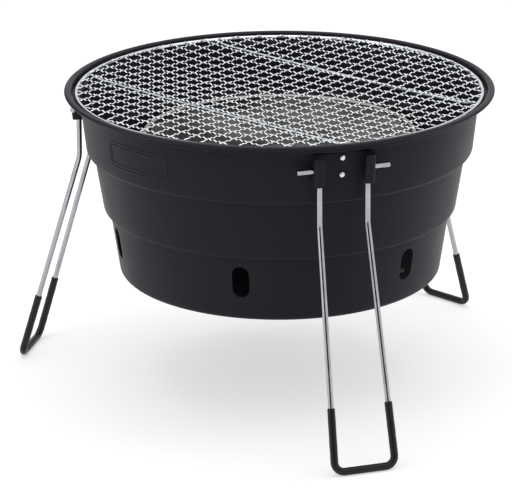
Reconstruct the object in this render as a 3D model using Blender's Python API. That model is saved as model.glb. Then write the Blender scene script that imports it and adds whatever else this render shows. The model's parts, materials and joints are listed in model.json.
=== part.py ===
"""Portable tabletop charcoal grill: a stepped steel bowl on three wire legs, with a lift-off mesh grate.

Lengths are in metres and +Z is up. The table is at z = 0, the front leg points along -Y, and the bowl's
axis stands where the object's bounding box is centred on the origin.
"""

import math

import bmesh
import bpy
from mathutils import Matrix, Vector

# Bowl
RIM_RADIUS = 0.190
RIM_HEIGHT = 0.271
BEAD_RADIUS = 0.0038
SHEET = 0.0010
WALL_INSET = 0.0134
BAND_DEPTHS = (0.056, 0.1095, 0.169)
BAND_TAPERS = (0.105, 0.150, 0.142)
STEP_WIDTHS = (0.0060, 0.0050)
STEP_CORNER = 0.0036
STEP_INNER_CORNER = 0.0010
FLOOR_CORNER = 0.0050
NECK_CORNER = 0.0015
TURN_STEPS = 48
BEAD_STEPS = 11

# Air vents in the lowest band, measured down from its upper step
VENT_COUNT = 6
VENT_WIDTH = 0.015
VENT_HEIGHT = 0.029
VENT_DROP = 0.0235
VENT_END_STEPS = 6

# Leg brackets and their rivets, placed from the leg's pivot
PIVOT_DEPTH = 0.0237
BRACKET_WIDTH = 0.0500
BRACKET_ABOVE_PIVOT = 0.0123
BRACKET_BELOW_PIVOT = 0.0127
BRACKET_SHEET = 0.0012
BRACKET_LIP = 0.0077
PIN_CLEARANCE = 0.0006
RIVET_UPPER = 0.0084
RIVET_LOWER = -0.0067
RIVET_HEAD_RADIUS = 0.00245
RIVET_HEAD_HEIGHT = 0.0013
RIVET_SHANK_RADIUS = 0.0015
RIVET_TAIL_RADIUS = 0.0026
RIVET_TAIL_HEIGHT = 0.0008
RIVET_STEPS = 12

# Wire legs and their dipped feet
LEG_NAMES = ("front", "right", "left")
WIRE_RADIUS = 0.0024
PIN_PROUD = 0.01525
LEG_SIDE_PLAY = 0.0003
LEG_FLARE = 0.0057
UPPER_LEAN_DEG = 1.0
KINK_DEPTH = 0.072
FOOT_SPLAY = 0.0507
PIN_BEND = 0.0026
KINK_BEND = 0.030
FOOT_BEND = 0.0085
WIRE_SIDES = 8
SLEEVE_WALL = 0.0005
SLEEVE_LENGTH = 0.053

# Cooking grate
HOOP_WIRE_RADIUS = 0.0020
HOOP_CLEARANCE = 0.0010
BAR_OFFSET = 0.081
BAR_WIRE_RADIUS = 0.0019
MESH_PITCH = 0.0225
MESH_STRAND = 0.0020
MESH_THICKNESS = 0.0013
MESH_LAYER_SHIFT = 0.0003
MESH_EDGE = 0.0030
GRATE_TURN_DEG = 30.0

# Charcoal tray and its strip feet
TRAY_AIR_GAP = 0.050
TRAY_DEPTH = 0.0440
TRAY_SHEET = 0.0012
TRAY_LIP = 0.0045
TRAY_CORNER = 0.0030
TRAY_FOOT_COUNT = 3
TRAY_FOOT_INSET = 0.024
TRAY_FOOT_WIDTH = 0.012
TRAY_FOOT_SHEET = 0.0015
TRAY_FOOT_TAB = 0.020
TRAY_FOOT_TOE = 0.016

# Gap kept between pieces that rest on or are fastened to one another, and a cutter's overshoot
GAP = 0.0003
OVERSHOOT = 0.004

# Places that follow from the sizes above
LEDGE_TOP = RIM_HEIGHT - 2 * BEAD_RADIUS + SHEET
FLOOR_TOP = RIM_HEIGHT - BAND_DEPTHS[2] + SHEET
LEG_HALF_WIDTH = BRACKET_WIDTH / 2 - BRACKET_SHEET - PIN_BEND - LEG_SIDE_PLAY
SLEEVE_BORE = WIRE_RADIUS + GAP
SLEEVE_RADIUS = SLEEVE_BORE + SLEEVE_WALL
SLEEVE_FLAT = SLEEVE_RADIUS * math.cos(math.pi / WIRE_SIDES)
AXIS_OFFSET = (FOOT_SPLAY + SLEEVE_FLAT) / 2


def clear_scene():
    for old in list(bpy.data.objects):
        bpy.data.objects.remove(old, do_unlink=True)


def finish(name, colour, roughness, metallic):
    """A Principled material of one colour."""
    material = bpy.data.materials.new(name)
    material.use_nodes = True
    shader = material.node_tree.nodes["Principled BSDF"]
    shader.inputs["Base Color"].default_value = (*colour, 1.0)
    shader.inputs["Roughness"].default_value = roughness
    shader.inputs["Metallic"].default_value = metallic
    return material


def add_empty(name, parent=None, location=(0, 0, 0), rotation=(0, 0, 0)):
    empty = bpy.data.objects.new(name, None)
    bpy.context.scene.collection.objects.link(empty)
    empty.parent = parent
    empty.location = location
    empty.rotation_euler = rotation
    return empty


def add_piece(name, mesh, material, parent, location=(0, 0, 0), rotation=(0, 0, 0)):
    """Puts a mesh into the scene as one named piece under its parent."""
    piece = bpy.data.objects.new(name, mesh)
    bpy.context.scene.collection.objects.link(piece)
    piece.parent = parent
    piece.location = location
    piece.rotation_euler = rotation
    mesh.materials.append(material)
    return piece


def add_cutter(name, mesh, parent):
    """A shape that only serves a Boolean on other pieces."""
    cutter = bpy.data.objects.new(name, mesh)
    bpy.context.scene.collection.objects.link(cutter)
    cutter.parent = parent
    cutter.hide_render = True
    cutter.display_type = "WIRE"
    return cutter


def combine(piece, other, operation):
    boolean = piece.modifiers.new(other.name, "BOOLEAN")
    boolean.operation = operation
    boolean.object = other
    return boolean


def to_mesh(name, bm):
    """Finishes a bmesh: faces outward, round faces smooth, sharp corners kept."""
    bmesh.ops.recalc_face_normals(bm, faces=bm.faces)
    mesh = bpy.data.meshes.new(name)
    bm.to_mesh(mesh)
    bm.free()
    mesh.shade_smooth()
    mesh.set_sharp_from_angle(angle=math.radians(35))
    return mesh


def rounded(corners, steps):
    """Points along a path of (point, bend radius) corners, with each bend drawn as an arc."""
    points = [corners[0][0]]
    for (before, _), (corner, radius), (after, _) in zip(corners, corners[1:], corners[2:]):
        back = (before - corner).normalized()
        onward = (after - corner).normalized()
        turn = math.pi - back.angle(onward)
        if radius == 0:
            points.append(corner)
            continue
        centre = corner + (back + onward).normalized() * radius / math.cos(turn / 2)
        start = corner + back * radius * math.tan(turn / 2) - centre
        axis = onward.cross(back)
        for step in range(steps + 1):
            points.append(centre + Matrix.Rotation(turn * step / steps, 3, axis) @ start)
    points.append(corners[-1][0])
    return points


def turned(name, profile, steps, closed=False):
    """Spins a profile of points in the plane x = 0 about the z axis."""
    bm = bmesh.new()
    verts = [bm.verts.new(point) for point in profile]
    edges = [bm.edges.new(pair) for pair in zip(verts, verts[1:])]
    if closed:
        edges.append(bm.edges.new((verts[-1], verts[0])))
    bmesh.ops.spin(bm, geom=verts + edges, cent=(0, 0, 0), axis=(0, 0, 1), angle=2 * math.pi,
                   steps=steps, use_merge=True)
    bmesh.ops.remove_doubles(bm, verts=bm.verts, dist=1e-6)
    return to_mesh(name, bm)


def push(bm, outline, direction):
    """A prism: a flat outline pushed along a direction. Returns its points."""
    near = [bm.verts.new(point) for point in outline]
    pushed = bmesh.ops.extrude_face_region(bm, geom=[bm.faces.new(near)])
    far = [item for item in pushed["geom"] if isinstance(item, bmesh.types.BMVert)]
    bmesh.ops.translate(bm, verts=far, vec=direction)
    return near + far


def prism(name, outline, direction):
    bm = bmesh.new()
    push(bm, outline, direction)
    return to_mesh(name, bm)


def rod(name, radius, start, end, sides):
    """A straight round bar between two points, with a flat and not a corner on its centre planes."""
    bm = bmesh.new()
    along = Vector(end) - Vector(start)
    aim = along.to_track_quat("Z", "Y").to_matrix().to_4x4()
    place = Matrix.Translation((Vector(start) + Vector(end)) / 2) @ aim
    place @= Matrix.Rotation(math.pi / sides, 4, "Z")
    bmesh.ops.create_cone(bm, cap_ends=True, segments=sides, radius1=radius, radius2=radius,
                          depth=along.length, matrix=place)
    return to_mesh(name, bm)


def polygon(radius, sides):
    """Corners of a regular polygon that has a flat side at its top and bottom."""
    angles = [2 * math.pi * (side + 0.5) / sides for side in range(sides)]
    return [(radius * math.cos(angle), radius * math.sin(angle)) for angle in angles]


def mirrored_tube(name, half_path, radius, bore=0.0):
    """A bent tube that is alike either side of x = 0, swept from the middle of its crossbar outwards."""
    along = [(after - before).normalized() for before, after in zip(half_path, half_path[1:])]
    tangents = [along[0]] + [(a + b).normalized() for a, b in zip(along, along[1:])] + [along[-1]]
    section = polygon(radius, WIRE_SIDES) + (polygon(bore, WIRE_SIDES) if bore else [])
    upward = Vector((0, 0, 1))
    rings = []
    for index, (point, tangent) in enumerate(zip(half_path, tangents)):
        if index:
            upward = tangents[index - 1].rotation_difference(tangent) @ upward
        across = tangent.cross(upward)
        rings.append([point + high * upward + wide * across for high, wide in section])
    flipped = [[Vector((-v.x, v.y, v.z)) for v in ring] for ring in rings[:0:-1]]
    bm = bmesh.new()
    rows = [[bm.verts.new(v) for v in ring] for ring in flipped + rings]
    for row, following in zip(rows, rows[1:]):
        for first in range(0, len(section), WIRE_SIDES):
            for side in range(WIRE_SIDES):
                a = first + side
                b = first + (side + 1) % WIRE_SIDES
                bm.faces.new((row[a], row[b], following[b], following[a]))
    for row in (rows[0], rows[-1]):
        if not bore:
            bm.faces.new(row)
            continue
        for side in range(WIRE_SIDES):
            after = (side + 1) % WIRE_SIDES
            bm.faces.new((row[side], row[after], row[WIRE_SIDES + after], row[WIRE_SIDES + side]))
    return to_mesh(name, bm)


def wall_radius(band, depth):
    """Outer radius of a band's wall at a depth below the rim's top."""
    top = RIM_RADIUS - WALL_INSET
    start = 2 * BEAD_RADIUS
    for upper in range(band):
        top -= BAND_TAPERS[upper] * (BAND_DEPTHS[upper] - start) + STEP_WIDTHS[upper]
        start = BAND_DEPTHS[upper]
    return top - BAND_TAPERS[band] * (depth - start)


def wall_side(inset):
    """Corners of the wall from the floor's middle up to the neck; the inner side is inset by the sheet."""
    bends = (STEP_CORNER, STEP_CORNER, FLOOR_CORNER)
    corners = [(Vector((0, 0, RIM_HEIGHT - BAND_DEPTHS[2] + inset)), 0)]
    for band in (2, 1, 0):
        low = BAND_DEPTHS[band]
        high = BAND_DEPTHS[band - 1] if band else 2 * BEAD_RADIUS
        foot = Vector((0, inset - wall_radius(band, low), RIM_HEIGHT - low + inset))
        head = Vector((0, inset - wall_radius(band, high), RIM_HEIGHT - high + inset))
        corners.append((foot, bends[band] - inset))
        corners.append((head, (STEP_INNER_CORNER if band else NECK_CORNER) + inset))
    return corners


def bowl_profile():
    """Outer side from the middle of the floor up to the rim's bead, then the inner side back down."""
    centre = Vector((0, BEAD_RADIUS - RIM_RADIUS, RIM_HEIGHT - BEAD_RADIUS))
    first = -math.pi / 2
    last = math.pi + math.asin((centre.z - LEDGE_TOP) / BEAD_RADIUS)
    bead = []
    for step in range(BEAD_STEPS + 1):
        angle = first + (last - first) * step / BEAD_STEPS
        bead.append(centre + BEAD_RADIUS * Vector((0, -math.cos(angle), math.sin(angle))))
    outer = rounded(wall_side(0.0) + [(bead[0], 0)], 2)
    inner = rounded(wall_side(SHEET) + [(bead[-1], 0)], 2)
    return outer + bead[1:-1] + inner[::-1]


def vent_slots():
    """Upright slots with round ends, pushed out through the lowest band's wall."""
    bm = bmesh.new()
    radius = VENT_WIDTH / 2
    straight = VENT_HEIGHT / 2 - radius
    middle = RIM_HEIGHT - BAND_DEPTHS[1] - VENT_DROP
    inside = wall_radius(2, BAND_DEPTHS[2]) - FLOOR_CORNER - OVERSHOOT
    outside = wall_radius(2, BAND_DEPTHS[1]) + OVERSHOOT
    outline = []
    for end in (1, -1):
        for step in range(VENT_END_STEPS + 1):
            angle = math.pi * step / VENT_END_STEPS
            height = end * (straight + radius * math.sin(angle))
            outline.append((end * radius * math.cos(angle), -inside, middle + height))
    for vent in range(VENT_COUNT):
        points = push(bm, outline, (0, inside - outside, 0))
        turn = Matrix.Rotation(math.pi * (2 * vent + 1) / VENT_COUNT, 4, "Z")
        bmesh.ops.transform(bm, matrix=turn, verts=points)
    return to_mesh("vent_slots", bm)


def bracket_outline(back, front):
    """The lipped channel from above: a base on the wall, two ears, and two lips in front of the wire."""
    half = BRACKET_WIDTH / 2
    inner = half - BRACKET_SHEET
    lip = half - BRACKET_LIP
    right = [(inner, back), (inner, -front), (lip, -front), (lip, -front - BRACKET_SHEET),
             (half, -front - BRACKET_SHEET), (half, back + BRACKET_SHEET)]
    return right + [(-x, y) for x, y in reversed(right)]


def rivet_profile(grip):
    """Domed head, shank through plate and wall, and clenched tail, with the head's seat at z = 0."""
    dome_steps = 3
    points = [(0, GAP + RIVET_HEAD_HEIGHT)]
    for step in range(1, dome_steps + 1):
        angle = math.pi / 2 * step / dome_steps
        points.append((RIVET_HEAD_RADIUS * math.sin(angle), GAP + RIVET_HEAD_HEIGHT * math.cos(angle)))
    seat = -grip - GAP
    points += [(RIVET_SHANK_RADIUS, GAP), (RIVET_SHANK_RADIUS, seat), (RIVET_TAIL_RADIUS, seat),
               (RIVET_TAIL_RADIUS, seat - RIVET_TAIL_HEIGHT), (0, seat - RIVET_TAIL_HEIGHT)]
    return [Vector((0, -radius, z)) for radius, z in points]


def leg_half_path(pivot):
    """Corners of the leg's wire from the foot's middle to the end of one pin, measured from the pivot."""
    lean = math.tan(math.radians(UPPER_LEAN_DEG))
    drop = RIM_HEIGHT - KINK_DEPTH - pivot.z
    kink = Vector((LEG_HALF_WIDTH, drop * lean, drop))
    foot = Vector((LEG_HALF_WIDTH + LEG_FLARE, -RIM_RADIUS - FOOT_SPLAY, SLEEVE_FLAT)) - pivot
    sleeve_top = foot + (kink - foot).normalized() * SLEEVE_LENGTH
    return [
        (Vector((0, foot.y, foot.z)), 0),
        (foot, FOOT_BEND),
        (sleeve_top, 0),
        (kink, KINK_BEND),
        (Vector((LEG_HALF_WIDTH, 0, 0)), PIN_BEND),
        (Vector((BRACKET_WIDTH / 2 + PIN_PROUD, 0, 0)), 0),
    ]


def build_leg_station(name, angle, assembly, bowl, finishes):
    """One leg with the bracket and rivets that carry it, on the side of the bowl at the given angle."""
    station = add_empty(f"station_{name}", assembly, rotation=(0, 0, angle))
    tilt = math.atan(BAND_TAPERS[0])
    lean = tilt + math.radians(UPPER_LEAN_DEG)
    back = WIRE_RADIUS + 2 * GAP
    front = WIRE_RADIUS / math.cos(lean) + BRACKET_BELOW_PIVOT * math.tan(lean) + GAP
    standoff = (GAP + BRACKET_SHEET + back) / math.cos(tilt)
    pivot = Vector((0, -wall_radius(0, PIVOT_DEPTH) - standoff, RIM_HEIGHT - PIVOT_DEPTH))

    seat = add_empty(f"bracket_seat_{name}", station, pivot, (tilt, 0, 0))
    outline = [(x, y, -BRACKET_BELOW_PIVOT) for x, y in bracket_outline(back, front)]
    channel = prism("leg_bracket", outline, (0, 0, BRACKET_ABOVE_PIVOT + BRACKET_BELOW_PIVOT))
    bracket = add_piece(f"leg_bracket_{name}", channel, finishes["black"], seat)
    bore = rod("pin_bore", WIRE_RADIUS + PIN_CLEARANCE, (-BRACKET_WIDTH, 0, 0), (BRACKET_WIDTH, 0, 0), 12)
    combine(bracket, add_cutter(f"pin_bore_{name}", bore, seat), "DIFFERENCE")
    grip = BRACKET_SHEET + GAP + SHEET
    for place, height in (("upper", RIVET_UPPER), ("lower", RIVET_LOWER)):
        near = (0, back - OVERSHOOT, height)
        far = (0, back + grip + OVERSHOOT, height)
        hole = rod("rivet_hole", RIVET_SHANK_RADIUS + GAP, near, far, RIVET_STEPS)
        cutter = add_cutter(f"rivet_hole_{name}_{place}", hole, seat)
        combine(bracket, cutter, "DIFFERENCE")
        combine(bowl, cutter, "DIFFERENCE")
        rivet = turned("rivet", rivet_profile(grip), RIVET_STEPS)
        add_piece(f"rivet_{name}_{place}", rivet, finishes["rivet"], seat, (0, back, height),
                  rotation=(math.pi / 2, 0, 0))

    hinge = add_empty(f"leg_pivot_{name}", station, pivot)
    corners = leg_half_path(pivot)
    wire = mirrored_tube("leg_wire", rounded(corners, 3), WIRE_RADIUS)
    add_piece(f"leg_wire_{name}", wire, finishes["wire"], hinge)
    sleeve = mirrored_tube("foot_sleeve", rounded(corners[:3], 3), SLEEVE_RADIUS, SLEEVE_BORE)
    add_piece(f"foot_sleeve_{name}", sleeve, finishes["vinyl"], hinge)


def strand_grid(reach, underside):
    """Crossing strands that run into the mesh's round border; the two directions lie a layer apart."""
    bm = bmesh.new()
    count = int(reach / MESH_PITCH)
    height = MESH_THICKNESS - MESH_LAYER_SHIFT
    for layer in (0, 1):
        for number in range(-count, count + 1):
            offset = number * MESH_PITCH
            if abs(offset) > reach - MESH_EDGE:
                continue
            length = 2 * math.sqrt(reach ** 2 - offset ** 2)
            base = underside + MESH_LAYER_SHIFT * (layer + 0.5)
            place = Matrix.Rotation(layer * math.pi / 2, 4, "Z")
            place @= Matrix.Translation((offset, 0, base + height / 2))
            place @= Matrix.Diagonal((MESH_STRAND, length, height, 1))
            bmesh.ops.create_cube(bm, size=1.0, matrix=place)
    return to_mesh("mesh_strands", bm)


def build_grate(assembly, finishes):
    """Round hoop that lies on the rim's ledge, two bars across it, and the mesh on top of both."""
    grate = add_empty("grate_lift", assembly, rotation=(0, 0, math.radians(GRATE_TURN_DEG)))
    hoop_radius = RIM_RADIUS - 2 * BEAD_RADIUS - HOOP_CLEARANCE - HOOP_WIRE_RADIUS
    hoop_height = LEDGE_TOP + GAP + HOOP_WIRE_RADIUS
    ring = [Vector((0, y - hoop_radius, hoop_height + z)) for z, y in polygon(HOOP_WIRE_RADIUS, WIRE_SIDES)]
    add_piece("grate_hoop", turned("grate_hoop", ring, TURN_STEPS, closed=True), finishes["wire"], grate)

    inside = (hoop_radius - HOOP_WIRE_RADIUS) * math.cos(math.pi / TURN_STEPS) - GAP
    half_length = math.sqrt(inside ** 2 - (BAR_OFFSET + BAR_WIRE_RADIUS) ** 2)
    for number, x in enumerate((-BAR_OFFSET, BAR_OFFSET), 1):
        ends = (x, -half_length, hoop_height), (x, half_length, hoop_height)
        bar = rod("grate_bar", BAR_WIRE_RADIUS, *ends, WIRE_SIDES)
        add_piece(f"grate_bar_{number}", bar, finishes["wire"], grate)

    underside = hoop_height + HOOP_WIRE_RADIUS + GAP
    top = underside + MESH_THICKNESS + MESH_LAYER_SHIFT
    outer = hoop_radius + HOOP_WIRE_RADIUS / 2
    edge = [(outer, underside), (outer, top), (outer - MESH_EDGE, top), (outer - MESH_EDGE, underside)]
    border = turned("cooking_mesh", [Vector((0, -r, z)) for r, z in edge], TURN_STEPS, closed=True)
    mesh = add_piece("cooking_mesh", border, finishes["wire"], grate)
    strands = add_cutter("mesh_strands", strand_grid(outer - MESH_EDGE / 2, underside), grate)
    union = combine(mesh, strands, "UNION")
    union.use_self = True


def build_tray(assembly, finishes):
    """Round charcoal tray with a low lip, on strip feet that stand on the bowl's floor."""
    tray = add_empty("tray_lift", assembly)
    radius = wall_radius(0, TRAY_DEPTH) - SHEET - TRAY_AIR_GAP
    top = RIM_HEIGHT - TRAY_DEPTH
    underside = top - TRAY_LIP - TRAY_SHEET

    def side(inset):
        corners = [((0, underside + inset), 0), ((radius - inset, underside + inset), TRAY_CORNER - inset),
                   ((radius - inset, top), 0)]
        return rounded([(Vector((0, -r, z)), bend) for (r, z), bend in corners], 3)

    profile = side(0.0) + side(TRAY_SHEET)[::-1]
    add_piece("charcoal_tray", turned("charcoal_tray", profile, TURN_STEPS), finishes["plate"], tray)

    low = FLOOR_TOP + GAP
    high = underside - GAP
    near = radius - TRAY_FOOT_INSET
    far = near + TRAY_FOOT_SHEET
    toe = far + TRAY_FOOT_TOE
    tab = near - TRAY_FOOT_TAB
    strip = [(toe, low), (toe, low + TRAY_FOOT_SHEET), (far, low + TRAY_FOOT_SHEET), (far, high),
             (tab, high), (tab, high - TRAY_FOOT_SHEET), (near, high - TRAY_FOOT_SHEET), (near, low)]
    outline = [(-TRAY_FOOT_WIDTH / 2, -r, z) for r, z in strip]
    for number in range(TRAY_FOOT_COUNT):
        turn = math.pi * (2 * number + 1) / TRAY_FOOT_COUNT
        foot = prism("tray_foot", outline, (TRAY_FOOT_WIDTH, 0, 0))
        add_piece(f"tray_foot_{number + 1}", foot, finishes["plate"], tray, rotation=(0, 0, turn))


def build_grill():
    finishes = {
        "black": finish("satin_black_enamel", (0.018, 0.017, 0.020), 0.45, 0.0),
        "wire": finish("zinc_plated_wire", (0.78, 0.79, 0.80), 0.25, 1.0),
        "rivet": finish("bright_steel", (0.85, 0.85, 0.85), 0.25, 1.0),
        "plate": finish("bare_steel_sheet", (0.50, 0.49, 0.47), 0.35, 1.0),
        "vinyl": finish("black_vinyl", (0.010, 0.010, 0.011), 0.5, 0.0),
    }
    assembly = add_empty("grill", location=(0, AXIS_OFFSET, 0))
    shell = turned("fire_bowl", bowl_profile(), TURN_STEPS)
    bowl = add_piece("fire_bowl", shell, finishes["black"], assembly)
    combine(bowl, add_cutter("vent_slots", vent_slots(), assembly), "DIFFERENCE")
    for number, name in enumerate(LEG_NAMES):
        build_leg_station(name, 2 * math.pi * number / len(LEG_NAMES), assembly, bowl, finishes)
    build_grate(assembly, finishes)
    build_tray(assembly, finishes)


clear_scene()
build_grill()
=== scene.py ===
import json
import math

import bpy
import numpy as np
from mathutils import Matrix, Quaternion, Vector


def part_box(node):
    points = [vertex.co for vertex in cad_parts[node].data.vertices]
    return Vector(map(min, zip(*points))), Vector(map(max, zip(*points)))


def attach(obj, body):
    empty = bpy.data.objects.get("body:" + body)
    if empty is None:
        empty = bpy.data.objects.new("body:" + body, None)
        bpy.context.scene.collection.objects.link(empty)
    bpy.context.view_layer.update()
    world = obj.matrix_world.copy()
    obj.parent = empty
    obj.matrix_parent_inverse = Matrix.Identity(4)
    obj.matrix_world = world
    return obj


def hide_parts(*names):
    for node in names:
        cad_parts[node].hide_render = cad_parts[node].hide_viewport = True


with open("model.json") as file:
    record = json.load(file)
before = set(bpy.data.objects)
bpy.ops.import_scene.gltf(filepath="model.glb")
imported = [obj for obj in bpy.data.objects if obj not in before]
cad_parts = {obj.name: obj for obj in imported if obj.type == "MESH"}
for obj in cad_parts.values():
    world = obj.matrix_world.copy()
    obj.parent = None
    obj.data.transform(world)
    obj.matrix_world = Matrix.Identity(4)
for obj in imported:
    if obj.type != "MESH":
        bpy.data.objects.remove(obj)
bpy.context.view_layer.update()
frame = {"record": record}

# Fire bowl: one pressing of 1 mm steel sheet in three bands, each a step narrower than the one above it.
# The rim steps out into a ledge and is rolled over into a flat hollow lip, and air slots are punched through
# the lowest band. The whole bowl is sprayed with heat-resisting enamel, inside and out, and stoved.

MM = 0.001
bowl_low, bowl_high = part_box("fire_bowl")
BOWL_AXIS = np.array([0.0, (bowl_low.y + bowl_high.y) / 2, 0.0])
RIM_RADIUS = (bowl_high.x - bowl_low.x) / 2
RIM_TOP = bowl_high.z
BOWL_FLOOR = bowl_low.z
BOWL_SHEET = 1.0 * MM
LIP_HALF_WIDTH = 3.1 * MM
LIP_HALF_HEIGHT = 1.8 * MM
LIP_TURN = np.radians((-125, 215))
LIP_POINTS = 28
LEDGE_DEPTH = 7.6 * MM
LEDGE_INSET = 5.4 * MM
WALL_TOP_RADIUS = RIM_RADIUS - 13.4 * MM
BAND_ENDS = np.array([RIM_TOP - LEDGE_DEPTH, RIM_TOP - 56 * MM, RIM_TOP - 109.5 * MM, BOWL_FLOOR])
BAND_TAPERS = (0.105, 0.150, 0.142)
STEP_WIDTHS = (6 * MM, 5 * MM)
STEP_BEND = 3.6 * MM
STEP_INNER_BEND = 1.0 * MM
FLOOR_BEND = 5 * MM
NECK_BEND = 2.6 * MM
LEDGE_BEND = 1.2 * MM
VENT_COUNT = 6
VENT_HALF_WIDTH = 7.5 * MM
VENT_HALF_STRAIGHT = 7 * MM
VENT_HEIGHT = BAND_ENDS[2] - 23.5 * MM
VENT_MARGIN = 2 * MM
VENT_HALF_ANGLE = math.radians(5)
COLUMNS_PER_STRETCH = 20


def bent_path(corners, bends, run_steps, arc_steps):
    """Straight runs joined by arcs.

    An arc of the corner's bend radius touches both runs, with its middle on the line that halves the angle.
    Its points swing from one touching point to the other in equal turns. A run is cut into equal steps no
    longer than the length given for it.
    """
    corners = np.asarray(corners, float)
    stretches = [corners[:1]]
    for before, corner, after, bend in zip(corners, corners[1:], corners[2:], bends):
        back = (before - corner) / np.linalg.norm(before - corner)
        onward = (after - corner) / np.linalg.norm(after - corner)
        if bend == 0:
            stretches.append(corner[None])
            continue
        half = math.acos(np.clip(back @ onward, -1, 1)) / 2
        middle = corner + (back + onward) / np.linalg.norm(back + onward) * bend / math.sin(half)
        start = corner + back * bend / math.tan(half) - middle
        end = corner + onward * bend / math.tan(half) - middle
        turn = math.pi - 2 * half
        share = np.linspace(0, 1, arc_steps + 1)[:, None]
        swing = np.sin((1 - share) * turn) * start + np.sin(share * turn) * end
        stretches.append(middle + swing / math.sin(turn))
    stretches.append(corners[-1:])
    joined = []
    for stretch, following, step in zip(stretches, stretches[1:], run_steps):
        gap = following[0] - stretch[-1]
        count = math.ceil(np.linalg.norm(gap) / step)
        joined += [stretch, stretch[-1] + np.arange(1, count)[:, None] / count * gap]
    return np.concatenate(joined + stretches[-1:])


def skin(name, points, closed_rows=False, closed_columns=True, kept=None, uv=None):
    """A mesh of quads over a grid of points, or over a stack of such grids.

    The last three axes of points are row, column and xyz. A closed direction joins its last line to its
    first. A row whose points all coincide becomes one pole, with triangles round it. Only the kept quads
    are made, and uv gives one (row length, column length) pair for each grid point.
    """
    points = np.asarray(points, float)
    rows, columns = points.shape[-3:-1]
    grids = points.reshape(-1, rows, columns, 3)
    index = np.arange(len(grids) * rows * columns).reshape(len(grids), rows, columns)
    poles = np.ptp(grids, axis=2).max(-1) < 1e-9
    index = np.where(poles[..., None], index[..., :1], index)
    lines = np.arange(rows + 1 if closed_rows else rows) % rows
    rings = np.arange(columns + 1 if closed_columns else columns) % columns
    wide = index[:, lines][:, :, rings]
    corners = np.stack([wide[:, :-1, :-1], wide[:, :-1, 1:], wide[:, 1:, 1:], wide[:, 1:, :-1]], -1)
    corners = corners.reshape(-1, 4)
    wanted = np.ones(corners.shape, bool)
    wanted[corners[:, 0] == corners[:, 1], 1] = False
    wanted[corners[:, 2] == corners[:, 3], 3] = False
    if kept is not None:
        wanted &= kept.reshape(-1, 1)
    sizes = wanted.sum(1)
    used, loops = np.unique(corners[wanted], return_inverse=True)
    starts = np.cumsum(sizes[sizes > 0]) - sizes[sizes > 0]

    mesh = bpy.data.meshes.new(name)
    mesh.vertices.add(len(used))
    mesh.vertices.foreach_set("co", grids.reshape(-1, 3)[used].ravel())
    mesh.loops.add(len(loops))
    mesh.loops.foreach_set("vertex_index", loops.ravel())
    mesh.polygons.add(len(starts))
    mesh.polygons.foreach_set("loop_start", starts)
    mesh.update(calc_edges=True)
    if uv is not None:
        flat = np.broadcast_to(uv, (len(grids), len(lines), len(rings), 2))
        at = np.stack([flat[:, :-1, :-1], flat[:, :-1, 1:], flat[:, 1:, 1:], flat[:, 1:, :-1]], -2)
        layer = mesh.uv_layers.new(name="length_and_girth")
        layer.uv.foreach_set("vector", at.reshape(-1, 4, 2)[wanted].ravel())
    piece = bpy.data.objects.new(name, mesh)
    bpy.context.scene.collection.objects.link(piece)
    smooth(mesh)
    return piece


def smooth(mesh):
    """Shades a mesh smooth, with edges sharper than a cut or a fold left crisp."""
    mesh.shade_smooth()
    mesh.set_sharp_from_angle(angle=math.radians(38))


def thicken(piece, thickness):
    """Gives a sheet its thickness, on the inner side of its faces, and shades the cut edges crisp."""
    wall = piece.modifiers.new("sheet", "SOLIDIFY")
    wall.thickness = thickness
    wall.offset = -1
    wall.use_even_offset = True
    shaped = piece.evaluated_get(bpy.context.evaluated_depsgraph_get())
    solid = bpy.data.meshes.new_from_object(shaped)
    piece.modifiers.clear()
    flat = piece.data
    piece.data = solid
    solid.name = flat.name
    bpy.data.meshes.remove(flat)
    smooth(solid)


def punch(across, along, half_width, half_straight, closed_columns):
    """Punches a round-ended slot through a sheet whose grid points have the given places from its middle.

    A point's distance from the slot's edge is its distance from the slot's straight core line, less the
    half width. Quads whose corners lie inside on average go. The points on the border of the hole then move
    down the slope of that distance until they lie on the edge. Returns the kept quads and the new places.
    """
    beyond = np.sign(along) * np.maximum(np.abs(along) - half_straight, 0)
    reach = np.maximum(np.hypot(across, beyond), 1e-9)
    distance = reach - half_width
    if closed_columns:
        distance = np.concatenate([distance, distance[:, :1]], 1)
    kept = distance[:-1, :-1] + distance[1:, :-1] + distance[:-1, 1:] + distance[1:, 1:] > 0
    gone = np.pad(~kept, ((1, 1), (0, 0) if closed_columns else (1, 1))).astype(int)
    if closed_columns:
        gone = np.concatenate([gone[:, -1:], gone], 1)
    touching = gone[:-1, :-1] + gone[1:, :-1] + gone[:-1, 1:] + gone[1:, 1:]
    shift = np.where((touching > 0) & (touching < 4), half_width / reach - 1, 0)
    return kept, across + shift * across, along + shift * beyond


def around_axis(radius, angle, height):
    """Points at a radius and height about the bowl's axis. The angle runs from the front to the right."""
    radius, angle, height = np.broadcast_arrays(radius, angle, height)
    return BOWL_AXIS + np.stack([radius * np.sin(angle), -radius * np.cos(angle), height], -1)


def band_radius(band, height):
    """Outer radius of a band's wall, which narrows by its taper with each unit of depth."""
    radius = WALL_TOP_RADIUS
    for upper in range(band):
        radius -= BAND_TAPERS[upper] * (BAND_ENDS[upper] - BAND_ENDS[upper + 1]) + STEP_WIDTHS[upper]
    return radius - BAND_TAPERS[band] * (BAND_ENDS[band] - height)


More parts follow.
